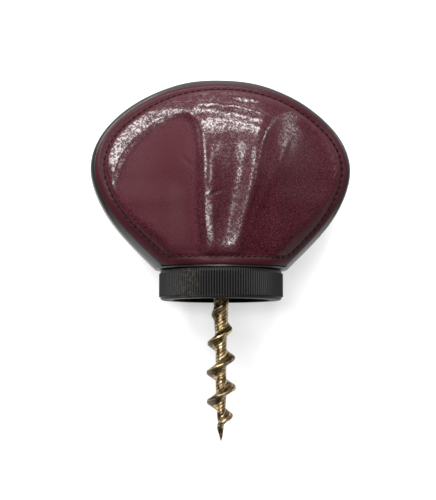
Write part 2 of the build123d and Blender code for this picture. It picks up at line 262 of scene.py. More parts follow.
# %% Node helpers
def add_node(tree, kind, **values):
    """Add a node and set its inputs by name, or its own settings where no input has that name."""
    node = tree.nodes.new(kind)
    for key, value in values.items():
        label = key.replace("_", " ")
        if label in node.inputs:
            node.inputs[label].default_value = value
        else:
            setattr(node, key, value)
    return node


def new_group(name, inputs, outputs):
    """An empty node group whose sockets carry numbers. Inputs come with their values."""
    tree = bpy.data.node_groups.new(name, "ShaderNodeTree")
    for label, value in inputs:
        socket = tree.interface.new_socket(name=label, in_out="INPUT", socket_type="NodeSocketFloat")
        socket.default_value = value
    for label in outputs:
        tree.interface.new_socket(name=label, in_out="OUTPUT", socket_type="NodeSocketFloat")
    return tree, tree.nodes.new("NodeGroupInput"), tree.nodes.new("NodeGroupOutput")


def math_node(tree, operation, first, second=None, third=None, clamp=False):
    """A Math node whose inputs are sockets or numbers. Returns its output."""
    node = add_node(tree, "ShaderNodeMath", operation=operation, use_clamp=clamp)
    for slot, value in zip(node.inputs, (first, second, third)):
        if isinstance(value, bpy.types.NodeSocket):
            tree.links.new(value, slot)
        elif value is not None:
            slot.default_value = value
    return node.outputs[0]


def mix_colour(tree, factor, first, second):
    """A Mix node for colours. Returns its output."""
    node = add_node(tree, "ShaderNodeMix", data_type="RGBA")
    for slot, value in zip((node.inputs[0], node.inputs[6], node.inputs[7]), (factor, first, second)):
        if isinstance(value, bpy.types.NodeSocket):
            tree.links.new(value, slot)
        else:
            slot.default_value = value if slot is node.inputs[0] else (*value, 1)
    return node.outputs[2]


def rise_between(tree, value, low, high):
    """0 where a value is at low or beyond, 1 where it is at high or beyond, and even in between."""
    node = add_node(tree, "ShaderNodeMapRange", From_Min=low, From_Max=high)
    tree.links.new(value, node.inputs["Value"])
    return node.outputs[0]


def noise_node(tree, place, **values):
    """A Noise texture at a place. Returns its strength."""
    node = add_node(tree, "ShaderNodeTexNoise", **values)
    tree.links.new(place, node.inputs["Vector"])
    return node.outputs["Fac"]


# %% [markdown]
# ### Grain
# Leather and moulded plastic both have a fine broken surface. A Voronoi pattern gives the cells that
# leather creases into, and noise breaks them up. The group puts out a height for a Bump node, a mask
# for colour that is dark in the grooves, and a mask of the tops, which take the polish first.


# %% Grain group
def build_grain():
    tree, entry, leave = new_group(
        "fine_grain", [("Scale", 1000.0), ("Break", 0.5)], ["Height", "Mask", "Tops"],
    )
    place = add_node(tree, "ShaderNodeTexCoord").outputs["Object"]
    cells = add_node(tree, "ShaderNodeTexVoronoi", feature="DISTANCE_TO_EDGE")
    tilt = add_node(tree, "ShaderNodeTexNoise", Detail=1.0, Distortion=0.6)
    fine = add_node(tree, "ShaderNodeTexNoise", Detail=3.0)
    link = tree.links.new
    for node, ratio in ((cells, 1.0), (tilt, 0.9), (fine, 2.6)):
        link(place, node.inputs["Vector"])
        link(math_node(tree, "MULTIPLY", entry.outputs["Scale"], ratio), node.inputs["Scale"])
    groove = math_node(tree, "SMOOTH_MIN", cells.outputs["Distance"], 0.22)
    rough = math_node(tree, "MULTIPLY", fine.outputs["Fac"], entry.outputs["Break"])
    body = math_node(tree, "ADD", tilt.outputs["Fac"], math_node(tree, "MULTIPLY", groove, 0.5))
    link(math_node(tree, "ADD", body, rough), leave.inputs["Height"])
    link(math_node(tree, "MULTIPLY", groove, 2.6, clamp=True), leave.inputs["Mask"])
    link(rise_between(tree, tilt.outputs["Fac"], 0.42, 0.60), leave.inputs["Tops"])
    return tree


grain_group = build_grain()

# %% [markdown]
# ### Rubbed edges and dust
# Handling polishes the corners of moulded plastic and brightens the edges of metal. Pointiness, which
# Cycles works out from the mesh, finds them. Dust and small specks collect everywhere, so a sparse
# noise mask stands for those.


# %% Rub and speck groups
def build_rub():
    tree, entry, leave = new_group("edge_rub", [("Amount", 0.5)], ["Mask"])
    shape = add_node(tree, "ShaderNodeNewGeometry")
    noise = add_node(tree, "ShaderNodeTexNoise", Scale=900.0, Detail=4.0)
    sharp = rise_between(tree, shape.outputs["Pointiness"], 0.51, 0.60)
    patchy = math_node(tree, "MULTIPLY", sharp, noise.outputs["Fac"])
    mask = math_node(tree, "MULTIPLY", patchy, entry.outputs["Amount"], clamp=True)
    tree.links.new(mask, leave.inputs["Mask"])
    return tree


def build_specks():
    tree, entry, leave = new_group("specks", [("Scale", 2500.0), ("Amount", 0.3)], ["Mask"])
    place = add_node(tree, "ShaderNodeTexCoord").outputs["Object"]
    noise = add_node(tree, "ShaderNodeTexNoise", Detail=2.0, Roughness=0.6)
    tree.links.new(place, noise.inputs["Vector"])
    tree.links.new(entry.outputs["Scale"], noise.inputs["Scale"])
    few = rise_between(tree, noise.outputs["Fac"], 0.62, 0.72)
    mask = math_node(tree, "MULTIPLY", few, entry.outputs["Amount"], clamp=True)
    tree.links.new(mask, leave.inputs["Mask"])
    return tree


rub_group = build_rub()
speck_group = build_specks()


def use_group(tree, group, **values):
    """Place a node group in a material and set its inputs."""
    node = tree.nodes.new("ShaderNodeGroup")
    node.node_tree = group
    for key, value in values.items():
        node.inputs[key].default_value = value
    return node


def new_material(name, **shader_values):
    """A material with a Principled shader. Values are set straight on its sockets."""
    material = bpy.data.materials.new(name)
    material.use_nodes = True
    tree = material.node_tree
    tree.nodes.clear()
    shader = tree.nodes.new("ShaderNodeBsdfPrincipled")
    for key, value in shader_values.items():
        shader.inputs[key.replace("_", " ")].default_value = value
    end = tree.nodes.new("ShaderNodeOutputMaterial")
    tree.links.new(shader.outputs[0], end.inputs["Surface"])
    return material, tree, shader


def add_bump(tree, shader, height, strength, distance_mm):
    """Feed a height to the shader's normal."""
    bump = add_node(tree, "ShaderNodeBump", Strength=strength, Distance=distance_mm * MM)
    tree.links.new(height, bump.inputs["Height"])
    tree.links.new(bump.outputs["Normal"], shader.inputs["Normal"])


# %% [markdown]
# ## The leather finish
# The real leather is a burgundy skin with a glazed, slightly crazed surface. Three scales matter: slow
# patches where the dye is deeper, the cells of the grain, and the glaze. The base is dull and carries
# the grain as bump. The glaze is a smooth coat over it, and it lies only where hands have polished the
# leather and only on the tops of the grain, so a lamp's image breaks up into small bright flecks.


# %% Leather material
def make_leather_material():
    material, tree, shader = new_material(
        "burgundy_leather", Specular_IOR_Level=0.06, Coat_Roughness=0.2, Coat_IOR=1.5,
        Coat_Tint=(1, 0.9, 0.91, 1),
    )
    link = tree.links.new
    place = add_node(tree, "ShaderNodeTexCoord").outputs["Object"]
    grain = use_group(tree, grain_group, Scale=1250.0, Break=0.08)
    depth = add_node(tree, "ShaderNodeAttribute", attribute_name="grain_depth").outputs["Fac"]
    polish = add_node(tree, "ShaderNodeAttribute", attribute_name="polish").outputs["Fac"]
    patches = noise_node(tree, place, Scale=55.0, Detail=4.0, Roughness=0.6)
    streaks = noise_node(tree, place, Scale=260.0, Detail=5.0, Roughness=0.7)
    dye = mix_colour(tree, patches, (0.068, 0.0118, 0.0185), (0.090, 0.019, 0.0275))
    toned = mix_colour(tree, math_node(tree, "MULTIPLY", streaks, 0.3), dye, (0.115, 0.029, 0.040))
    hollows = math_node(tree, "SUBTRACT", 1.0, grain.outputs["Mask"], clamp=True)
    hollows = math_node(tree, "MULTIPLY", hollows, depth)
    open_dye = mix_colour(tree, hollows, toned, (0.016, 0.002, 0.004))
    # Painted shade: the colour is darkened towards near black where the grain is pressed flat, in the left
    # dish and along the sewn border
    pressed = math_node(tree, "MULTIPLY", math_node(tree, "SUBTRACT", 1.0, depth), 0.95)
    link(mix_colour(tree, pressed, open_dye, (0.012, 0.0015, 0.0025)), shader.inputs["Base Color"])
    link(math_node(tree, "MULTIPLY_ADD", streaks, 0.2, 0.36), shader.inputs["Roughness"])
    bare = math_node(tree, "SUBTRACT", 1.0, math_node(tree, "MULTIPLY", depth, 0.85))
    glaze = math_node(tree, "MAXIMUM", grain.outputs["Tops"], bare)
    link(math_node(tree, "MULTIPLY", glaze, polish, clamp=True), shader.inputs["Coat Weight"])
    height = math_node(tree, "MULTIPLY", grain.outputs["Height"], depth)
    add_bump(tree, shader, height, 1.0, 0.10)
    return material


leather = make_leather_material()

# %% [markdown]
# ## The leather panels
# Each panel is cut to the fan, glued over thin foam, and sewn through near its edge. Wrapping a cloth
# simulation over the form would blur the flutes, so the panel is laid on the crown formula instead,
# and what the hand sees is added as height: the rolled cut edge, the pull of the seam with a dimple
# at each needle hole, the soft rise of the foam inside it, and a few creases.

# %% Panel settings
loop_count = 720
leather_thickness = 1.0
# How far the leather's edge reaches out over the black rim
edge_cover = 0.55
edge_roll, edge_drop = 1.1, 0.35
seam_depth, seam_width = 0.42, 0.75
hole_depth, hole_width = 0.22, 0.42
pillow_rise, pillow_start, pillow_run = 0.35, 2.2, 4.5
glue_sink = 0.1
stitch_pitch = 2.15
# The seam runs closer to the rim on the right than on the left
hem_margin = 2.8
margin_left, margin_top, margin_right = 2.5, 1.8, 1.5


def seam_margins():
    """Distance of the seam from the rim's border, along the arch from right to left."""
    turn = np.linspace(0, 1, len(arch))
    margins = [margin_right, margin_right, margin_top, margin_left, margin_left]
    return np.interp(turn, [0, 0.25, 0.5, 0.75, 1], margins)


cut_loop = fan_loop(rim_border - edge_cover, hem, loop_count)
seam_line = fan_loop(rim_border + seam_margins(), hem + hem_margin, 8 * loop_count, corner=2.2)
seam_length = path_length(np.vstack([seam_line, seam_line[:1]]))
stitch_count = round(seam_length / stitch_pitch)
holes = resample(np.vstack([seam_line, seam_line[:1]]), stitch_count)
print(f"seam {seam_length:.0f} mm long, {stitch_count} stitches a side")


# %% Distances and soft shapes
def distance_to(points, line):
    """Shortest distance from each point to a dense line of points."""
    best = np.full(len(points), 1e9)
    for chunk in np.array_split(line, max(len(line) // 200, 1)):
        gap = np.hypot(points[:, None, 0] - chunk[None, :, 0], points[:, None, 1] - chunk[None, :, 1])
        best = np.minimum(best, gap.min(axis=1))
    return best


def bell(distance, width):
    """1 at no distance, fading on both sides."""
    return np.exp(-(distance / width) ** 2)


def smooth(value):
    """Smooth step from 0 to 1."""
    value = np.clip(value, 0, 1)
    return value * value * (3 - 2 * value)


def crease(x, y, start, end, width, depth):
    """A shallow fold along a line, fading at both ends."""
    a, b = np.array(start), np.array(end)
    run = b - a
    t = ((x - a[0]) * run[0] + (y - a[1]) * run[1]) / (run @ run)
    off = np.hypot(x - a[0] - np.clip(t, 0, 1) * run[0], y - a[1] - np.clip(t, 0, 1) * run[1])
    return depth * bell(off, width) * np.clip(np.sin(np.pi * np.clip(t, 0.02, 0.98)), 0, 1) ** 0.6


def soft_loop(corners, steps=6):
    """A closed curve through places, rounded between them."""
    here = np.array(corners, float)[:, None]
    before, after, beyond = (np.roll(here, shift, axis=0) for shift in (1, -1, -2))
    t = np.linspace(0, 1, steps, endpoint=False)[None, :, None]
    curve = (
        2 * here + (after - before) * t + (2 * before - 5 * here + 4 * after - beyond) * t ** 2
        + (3 * here - before - 3 * after + beyond) * t ** 3
    )
    return curve.reshape(-1, 2) / 2


def depth_inside(points, loop):
    """Distance from a loop to each point, positive inside it."""
    x, y = points.T
    nearest = np.full(len(points), 1e9)
    inside = np.zeros(len(points), bool)
    for (ax, ay), (bx, by) in zip(loop, np.roll(loop, -1, axis=0)):
        run_x, run_y = bx - ax, by - ay
        t = np.clip(((x - ax) * run_x + (y - ay) * run_y) / (run_x ** 2 + run_y ** 2), 0, 1)
        nearest = np.minimum(nearest, np.hypot(x - ax - t * run_x, y - ay - t * run_y))
        if run_y:
            inside ^= ((ay > y) != (by > y)) & (x < run_x * (y - ay) / run_y + ax)
    return nearest * np.where(inside, 1, -1)


# %% [markdown]
# ### What pressing, sewing and use did to the leather
# The panel was pressed into its flutes over a form with crisp edges. So a wall about three millimetres
# wide runs round each side dish: sharp beside the raised middle, softer at the outer side, and only a
# bend at the foot. The walls are drawn as two closed curves, and each point of the panel sinks by its
# depth inside them. A roll closes the middle dish at its top, and a soft fold leans out to the right.

# %% Outlines of the two side dishes, and the roll that closes the middle one
left_dish = soft_loop([
    (-8.2, 4.0), (-8.1, 11.4), (-8.2, 19.3), (-8.8, 26.4), (-9.0, 37.7), (-9.0, 47.6), (-9.5, 55.0),
    (-11.7, 59.1), (-15.2, 60.2), (-18.8, 59.2), (-23.6, 56.4), (-28.5, 52.0), (-32.1, 47.3),
    (-34.4, 42.3), (-35.7, 37.0), (-35.7, 32.4), (-33.6, 29.0), (-30.0, 25.6), (-25.1, 22.0),
    (-21.2, 18.2), (-18.7, 14.0), (-17.0, 4.0),
])
right_dish = soft_loop([
    (13.5, 4.0), (15.5, 13.5), (18.9, 17.6), (23.4, 21.8), (28.0, 26.2), (31.8, 30.4), (34.8, 35.2),
    (36.2, 40.6), (35.9, 45.6), (34.4, 50.4), (31.8, 54.6), (28.5, 58.0), (24.5, 60.4), (20.6, 60.4),
    (17.0, 58.0), (13.6, 53.0), (11.6, 47.4), (10.6, 41.2), (9.4, 34.7), (7.6, 29.0), (6.0, 23.5),
    (4.7, 17.0), (4.0, 11.4), (3.8, 4.0),
])
roll_line = np.array([
    (-12.0, 61.6), (-9.5, 63.4), (-6.0, 64.0), (-3.0, 63.9), (-1.0, 63.1), (3.2, 63.3), (6.5, 62.4),
    (11.6, 60.9), (14.0, 59.6), (17.0, 58.2),
])
wall_depth, wall_width = 0.9, 2.9
soft_wall = 3.0
crest_rise, crest_width, crest_gap = 0.28, 1.3, 0.6
flank_fall, flank_run = 0.35, 4.0
bend_rise, bend_width = 0.2, 2.2
roll_rise, roll_width = 0.36, 1.4
valley_depth, valley_width, valley_gap = 0.15, 1.7, 3.0
fold_line = np.array([
    (4.0, 8.0), (5.1, 14.1), (6.9, 21.1), (9.1, 27.3), (11.7, 33.6), (14.7, 38.3), (19.3, 48.7),
    (22.5, 57.0),
])
fold_rise, fold_width = 0.24, 1.5
# Each crease: its two ends, its width and its depth
creases = [
    ((-6.5, 63.0), (-2.5, 69.0), 0.8, 0.20), ((-3.4, 64.5), (-0.6, 68.0), 0.6, 0.12),
    ((-6.4, 32.7), (-1.4, 34.6), 0.6, 0.28), ((2.0, 65.5), (12.0, 64.5), 1.2, 0.25),
    ((-14.2, 45.8), (-11.8, 42.4), 0.5, 0.15), ((-13.0, 12.0), (-11.5, 22.0), 0.9, 0.14),
    ((9.5, 12.5), (12.5, 22.0), 0.9, 0.14),
]
# Each ripple: its waves across and up the panel, in radians for each millimetre, and its start
ripples = [(0.31, 0.12, 0.4), (-0.17, 0.36, 1.9), (0.08, -0.27, 3.1), (0.43, -0.22, 5.0)]
ripple_height = 0.035


# %% Relief of the dishes and of the roll
def from_fold(x, y):
    """Distance across the panel from the fold on the right."""
    return x - np.interp(y, *fold_line.T[::-1])


def dish_relief(points):
    """Walls round the side dishes, crisp beside the ridges, and the bend down to the lower flanks."""
    x, y = points.T
    # Low and far out, the dish has no wall, only a bend
    flank = smooth((np.abs(x) - 13) / 6) * smooth((40 - y) / 9)
    fold_ends = smooth((y - 8) / 5) * smooth((57 - y) / 7)
    total = fold_rise * bell(from_fold(x, y), fold_width) * fold_ends
    left_crest = crest_rise * (0.25 + 0.75 * smooth((x + 18) / 6))
    right_crest = 0.6 * crest_rise * smooth((15 - x) / 5)
    right_firmness = smooth((19 - x) / 6)
    sides = (
        (left_dish, 1.0, left_crest, 1.25 * crest_width),
        (right_dish, right_firmness, right_crest, 1.6 * crest_width),
    )
    for loop, firm, rise, width in sides:
        deep = depth_inside(points, loop)
        slope = wall_width + soft_wall * (1 - firm)
        drop = wall_depth * (0.5 + 0.5 * firm) * smooth(deep / slope + 0.5)
        wall = rise * bell(deep + crest_gap + width, width) - drop
        bend = bend_rise * bell(deep - crest_gap, bend_width) - flank_fall * smooth(-deep / flank_run)
        near = smooth((deep + 9) / 4)
        total += wall * (1 - flank) + bend * flank * near
    return total * smooth((y - hem + 1) / 3)


def roll_relief(x, y):
    """The roll above the middle flute, and the valley below it."""
    off = y - np.interp(x, *roll_line.T)
    within = smooth((x + 12) / 4) * smooth((17 - x) / 4)
    valley = valley_depth * bell(off + valley_gap, valley_width)
    return within * (roll_rise * bell(off, roll_width) - valley)


def worn_surface(points):
    """What press, seam and foam add to the crown at each place, in millimetres."""
    x, y = points.T
    from_cut = distance_to(points, cut_loop)
    from_seam = distance_to(points, seam_line[::3])
    from_hole = distance_to(points, holes)
    inner = np.clip((from_cut - pillow_start) / pillow_run, 0, 1)
    rise = pillow_rise * np.sin(inner * np.pi / 2)
    round_share = 1 - np.clip(from_cut / edge_roll, 0, 1)
    roll = -edge_drop * (1 - np.sqrt(1 - round_share ** 2))
    pull = -seam_depth * bell(from_seam, seam_width) - hole_depth * bell(from_hole, hole_width)
    ripple = sum(ripple_height * np.sin(a * x + b * y + c) for a, b, c in ripples) * inner
    folds = -sum(crease(x, y, *fold) for fold in creases) * np.clip(from_cut / 3, 0, 1)
    pressed = (dish_relief(points) + roll_relief(x, y)) * smooth((from_cut - 2.0) / 2.5)
    return rise + roll + pull + ripple + folds + pressed - glue_sink


def panel_normal(points):
    """Unit normals of the crown."""
    step = 0.05
    x, y = points.T
    slope_x = (crown(x + step, y) - crown(x - step, y)) / (2 * step)
    slope_y = (crown(x, y + step) - crown(x, y - step)) / (2 * step)
    normal = np.stack([-slope_x, -slope_y, np.ones_like(x)], 1)
    return normal / np.linalg.norm(normal, axis=1)[:, None]


def panel_points(points, lower=0.0):
    """Points of the panel in space, a depth below its face along the face's normals."""
    x, y = points.T
    lift = worn_surface(points) if lower == 0 else np.full(len(points), -lower)
    return np.stack([x, y, crown(x, y)], 1) + panel_normal(points) * lift[:, None]


# %% [markdown]
# ### Where the grain is deep and where it is polished
# Pressing flattened the grain in the left dish and along the sewn border, and hands have polished what
# stands proud. Both are stored on the mesh as a number for each point, which the material reads. Where
# the grain is flat, the material also darkens the colour as painted shade.

# %% Grain and polish masks
def grain_depth(flat):
    """1 where the grain is open, less where the leather was pressed flat. The material darkens the colour
    where it is low, as painted shade.
    """
    from_cut = distance_to(flat, cut_loop)
    border = smooth((from_cut - 2.5) / 2.0)
    pressed = smooth(depth_inside(flat, left_dish) / 5)
    return (0.25 + 0.75 * border) * (1 - 0.55 * pressed)


def polish(flat):
    """1 on the crests and the upper shoulder, little in the dishes and on the lower flanks."""
    x, y = flat.T
    # Places that hands spare, each 1 where it is and 0 elsewhere
    sunk = np.maximum(depth_inside(flat, left_dish), depth_inside(flat, right_dish) + 0.8)
    dish_floor = smooth((sunk + 0.5) / 1.4)
    low_flank = smooth((np.abs(x) - 14) / 6) * smooth((38 - y) / 8)
    sewn = 1 - smooth((distance_to(flat, cut_loop) - 3.4) / 1.2)
    trough = bell(x + 4.0, 1.8) * smooth((54 - y) / 8)
    upper_right = np.maximum(smooth((x - 11) / 4) * smooth((y - 52) / 6), smooth((x - 20) / 5))
    # Each with the share of the polish that is missing there
    spared = ((dish_floor, 1), (low_flank, 0.95), (sewn, 0.93), (trough, 0.8), (upper_right, 0.75))
    rubbed = np.prod([1 - share * place for place, share in spared], axis=0)
    # The fold on the right stands proud in its dish, and its upper half shines a little
    upper_fold = bell(from_fold(x, y), 3.0) * smooth((y - 34) / 16) * (1 - sewn)
    return np.maximum(rubbed, 0.4 * upper_fold)


def add_attribute(piece, name, values):
    """Store one number for each point of a mesh."""
    piece.data.attributes.new(name, "FLOAT", "POINT").data.foreach_set("value", values)


# %% Build one panel and its turned-over twin
def make_panel(name, turned_over):
    """A panel made of rings: out from its heart along the back, then in again over the face."""
    heart = np.array([0.0, base + 0.47 * handle_height])
    # The rings lie closer near the edge, where the seam's relief is finest
    fine = np.linspace(1.0, 0.78, 26)
    coarse = np.linspace(0.78, 0.02, 44)[1:]
    top_rings = [heart + (cut_loop - heart) * share for share in np.concatenate([fine, coarse])]
    low_rings = [heart + (cut_loop - heart) * share for share in (1.0, 0.97, 0.9, 0.75, 0.5, 0.02)]
    rings = [panel_points(ring, leather_thickness - 0.02) for ring in low_rings[::-1]]
    rings += [panel_points(ring) for ring in top_rings]
    points = np.vstack(rings)
    if turned_over:
        points = points * (-1, 1, -1)
        points[:, 2] = np.maximum(points[:, 2], floor_z)
    faces = list(grid_faces(len(rings), loop_count))
    first = list(range(loop_count))
    last = [len(points) - loop_count + i for i in range(loop_count)]
    faces += [first[::-1], last]
    piece = new_mesh(name, points, faces, leather, "handle")
    flat = points[:, :2] * (-1, 1) if turned_over else points[:, :2]
    add_attribute(piece, "grain_depth", grain_depth(flat))
    add_attribute(piece, "polish", polish(flat))
    return piece


front_cover = make_panel("front_leather_cover", False)
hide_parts("front_leather")
rear_cover = make_panel("rear_leather_cover", True)
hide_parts("rear_leather")
print("leather points a side:", len(front_cover.data.vertices))

# %% [markdown]
# ## The stitches
# The seam is sewn with a waxed black thread. Each stitch is a short length of cord that comes up from
# one hole, lies on the leather and dives into the next. A bevelled curve would do, but a mesh lets
# every stitch sink at its ends and bulge in the middle.


# %% Thread material
def make_thread_material():
    material, tree, shader = new_material("waxed_thread", Roughness=0.4, Specular_IOR_Level=0.12)
    ply = add_node(tree, "ShaderNodeTexWave", Scale=1800.0, Distortion=2.0, Detail=2.0)
    colour = mix_colour(tree, ply.outputs["Fac"], (0.0015, 0.0012, 0.0015), (0.008, 0.0065, 0.007))
    tree.links.new(colour, shader.inputs["Base Color"])
    add_bump(tree, shader, ply.outputs["Fac"], 0.5, 0.05)
    return material


thread = make_thread_material()


# %% Build the stitches
def make_stitches(name, turned_over, radius=0.24, bulge=0.26, sink=0.10, sides=8, steps=8):
    """One short cord for each pair of needle holes, all in one mesh."""
    after = np.roll(holes, -1, axis=0)
    t = np.linspace(0.06, 0.94, steps)[:, None]
    lift = bulge * np.sin(np.pi * t) - sink
    girth = radius * (0.45 + 0.55 * np.sin(np.pi * np.clip(t, 0.08, 0.92)))
    angle = np.linspace(0, 2 * np.pi, sides, endpoint=False)[:, None]
    points, faces = [], []
    for a, b in zip(holes, after):
        flat_way = a + (b - a) * t
        normal = panel_normal(flat_way)
        spine = panel_points(flat_way) + normal * lift
        across = np.cross(np.append((b - a) / np.linalg.norm(b - a), 0.0), (0.0, 0.0, 1.0))
        start = len(points) * sides
        for row in range(steps):
            ring = across * np.cos(angle) + normal[row] * np.sin(angle)
            points.append(spine[row] + girth[row] * ring)
        faces += list(grid_faces(steps, sides, start))
        faces += [list(range(start + sides - 1, start - 1, -1))]
        faces += [list(range(start + (steps - 1) * sides, start + steps * sides))]
    cloud = np.vstack(points)
    if turned_over:
        cloud = cloud * (-1, 1, -1)
    piece = new_mesh(name, cloud, faces, thread, "handle")
    return piece


make_stitches("front_stitches", False)
make_stitches("rear_stitches", True)

# %% [markdown]
# ## Black mouldings
# The rim and the collar are the same black plastic with two finishes: the rim is satin from handling,
# the collar is matt, with painted shade that darkens the grooves between its ribs and leaves their tips
# pale, and some old dust on its left. The ribs are solid. Their tips are found again from the angle
# round the axis, so that the painted shade falls only between them.


# %% Rib tips, painted groove shade and dust of the collar
rib_count = 148
rib_foot, rib_tip = 19.4, 19.9
dust_place, dust_core, dust_reach = -12.5, 1.0, 5.0


def build_ribs():
    """A mask that is 1 on the tips of the collar's ribs, for painted shade in the grooves, and a second one
    for old dust.
    """
    tree, entry, leave = new_group("rib_tips", [("Count", rib_count)], ["Mask", "Dust"])
    place = add_node(tree, "ShaderNodeTexCoord").outputs["Object"]
    split = add_node(tree, "ShaderNodeSeparateXYZ")
    tree.links.new(place, split.inputs[0])
    across, away = split.outputs["X"], split.outputs["Z"]
    turn = math_node(tree, "MULTIPLY", math_node(tree, "ARCTAN2", away, across), entry.outputs["Count"])
    tips = math_node(tree, "MULTIPLY_ADD", math_node(tree, "COSINE", turn), -0.5, 0.5)
    squares = [math_node(tree, "POWER", side, 2.0) for side in (across, away)]
    radius_squared = math_node(tree, "ADD", *squares)
    rim = rise_between(tree, radius_squared, (rib_foot * MM) ** 2, (rib_tip * MM) ** 2)
    tree.links.new(math_node(tree, "MULTIPLY", tips, rim), leave.inputs["Mask"])
    off = math_node(tree, "ABSOLUTE", math_node(tree, "SUBTRACT", across, dust_place * MM))
    blot = rise_between(tree, off, dust_reach * MM, dust_core * MM)
    fleck = noise_node(tree, place, Scale=900.0, Detail=6.0, Roughness=0.8)
    flecks = math_node(tree, "MULTIPLY_ADD", fleck, 5.0, -2.4, clamp=True)
    tree.links.new(math_node(tree, "MULTIPLY", blot, flecks), leave.inputs["Dust"])
    return tree


rib_group = build_ribs()


# %% Black plastics
def cloudy(tree, low, high, **values):
    """A number that drifts between two values over the surface."""
    cloud = add_node(tree, "ShaderNodeTexNoise", **values)
    return math_node(tree, "MULTIPLY_ADD", cloud.outputs["Fac"], high - low, low)


def make_black(name, rough_low, rough_high, grain_scale, grain_strength, rub, dust):
    material, tree, shader = new_material(name, Specular_IOR_Level=0.3)
    link = tree.links.new
    grain = use_group(tree, grain_group, Scale=grain_scale, Break=0.8)
    worn = use_group(tree, rub_group, Amount=rub)
    specks = use_group(tree, speck_group, Scale=3200.0, Amount=dust)
    base_colour = mix_colour(tree, grain.outputs["Mask"], (0.0050, 0.0045, 0.0045), (0.0095, 0.0085, 0.0085))
    rubbed = mix_colour(tree, worn.outputs["Mask"], base_colour, (0.034, 0.032, 0.031))
    dusty = mix_colour(tree, specks.outputs["Mask"], rubbed, (0.12, 0.115, 0.11))
    link(dusty, shader.inputs["Base Color"])
    link(cloudy(tree, rough_low, rough_high, Scale=180.0, Detail=3.0), shader.inputs["Roughness"])
    add_bump(tree, shader, grain.outputs["Height"], grain_strength, 0.03)
    return material


def make_ribbed_black():
    material, tree, shader = new_material("matt_black_moulding", Specular_IOR_Level=0.05)
    link = tree.links.new
    grain = use_group(tree, grain_group, Scale=2600.0, Break=0.8)
    ribs = use_group(tree, rib_group)
    # Painted shade: the grooves between the ribs are near black and only the rib tips are grey
    groove_shaded = mix_colour(tree, ribs.outputs["Mask"], (0.0012, 0.0012, 0.0012), (0.024, 0.023, 0.023))
    dust = math_node(tree, "MULTIPLY", ribs.outputs["Dust"], 0.6)
    link(mix_colour(tree, dust, groove_shaded, (0.10, 0.085, 0.065)), shader.inputs["Base Color"])
    link(cloudy(tree, 0.34, 0.50, Scale=180.0, Detail=3.0), shader.inputs["Roughness"])
    height = math_node(tree, "MULTIPLY_ADD", ribs.outputs["Mask"], 3.0, grain.outputs["Height"])
    add_bump(tree, shader, height, 0.45, 0.03)
    return material


shell_black = make_black("satin_black_moulding", 0.26, 0.42, 3000.0, 0.25, rub=0.5, dust=0.10)
inner_black = make_black("plain_black_moulding", 0.38, 0.50, 2600.0, 0.3, rub=0.3, dust=0.10)
collar_black = make_ribbed_black()


def paint(node, material, angle=35):
    """Give a solid its finish, and shade it smooth except at its corners."""
    mesh = nodes[node].data
    mesh.materials.clear()
    mesh.materials.append(material)
    mesh.shade_smooth()
    mesh.set_sharp_from_angle(angle=math.radians(angle))


for node in ("front_shell", "rear_shell"):
    paint(node, shell_black)
paint("knurled_collar", collar_black, angle=20)
for node in ("neck_sleeve", "worm_carrier", "worm_tube"):
    paint(node, inner_black)

# %% [markdown]
# ## Metal finishes
# The worm is brass-coloured and darkened by age: stained in patches, pale gold on its rubbed edges,
# with slanting tool marks. Painted shade darkens its flight, most on the left side, and a painted
# highlight leaves the flight's crest lighter. The hidden screws, pins and nut are plain zinc-plated steel.


# %% Metals
def make_worm_metal():
    material, tree, shader = new_material("aged_brass", Metallic=1.0, Specular_IOR_Level=0.5)
    link = tree.links.new
    place = add_node(tree, "ShaderNodeTexCoord").outputs["Object"]
    # Diagonal bands, mirrored and squeezed along the axis, slant across the worm as its tool marks do
    slant = add_node(tree, "ShaderNodeVectorMath", operation="MULTIPLY")
    slant.inputs[1].default_value = (-1.0, 1.6, 0.4)
    link(place, slant.inputs[0])
    marks = add_node(
        tree, "ShaderNodeTexWave", bands_direction="DIAGONAL", Scale=340.0, Distortion=2.5, Detail=3.0,
        Detail_Scale=2.0,
    )
    link(slant.outputs["Vector"], marks.inputs["Vector"])
    stain = noise_node(tree, place, Scale=330.0, Detail=6.0, Roughness=0.7)
    rub = use_group(tree, rub_group, Amount=1.8)
    aged = rise_between(tree, stain, 0.42, 0.60)
    cut = math_node(tree, "MULTIPLY", rise_between(tree, marks.outputs["Fac"], 0.50, 0.75), 0.7)
    dull = mix_colour(tree, aged, (0.095, 0.062, 0.036), (0.68, 0.50, 0.245))
    marked = mix_colour(tree, cut, dull, (0.030, 0.018, 0.010))
    bright = mix_colour(tree, rub.outputs["Mask"], marked, (0.85, 0.73, 0.48))
    # The flight attribute carries painted shade on the flight, darkest on the left, and a painted highlight
    # along its crest
    flight = add_node(tree, "ShaderNodeAttribute", attribute_name="flight").outputs["Fac"]
    flight_shade_share = math_node(tree, "MULTIPLY", flight, 0.88)
    link(mix_colour(tree, flight_shade_share, bright, (0.048, 0.038, 0.030)), shader.inputs["Base Color"])
    link(math_node(tree, "MULTIPLY_ADD", stain, 0.25, 0.26), shader.inputs["Roughness"])
    height = math_node(tree, "MULTIPLY_ADD", marks.outputs["Fac"], -0.6, stain)
    add_bump(tree, shader, height, 0.6, 0.08)
    return material


def make_zinc():
    material, tree, shader = new_material("zinc_plated_steel", Metallic=1.0)
    cloud = add_node(tree, "ShaderNodeTexNoise", Scale=900.0, Detail=5.0)
    colour = mix_colour(tree, cloud.outputs["Fac"], (0.42, 0.42, 0.41), (0.62, 0.62, 0.60))
    tree.links.new(colour, shader.inputs["Base Color"])
    rough = math_node(tree, "MULTIPLY_ADD", cloud.outputs["Fac"], 0.25, 0.22)
    tree.links.new(rough, shader.inputs["Roughness"])
    return material


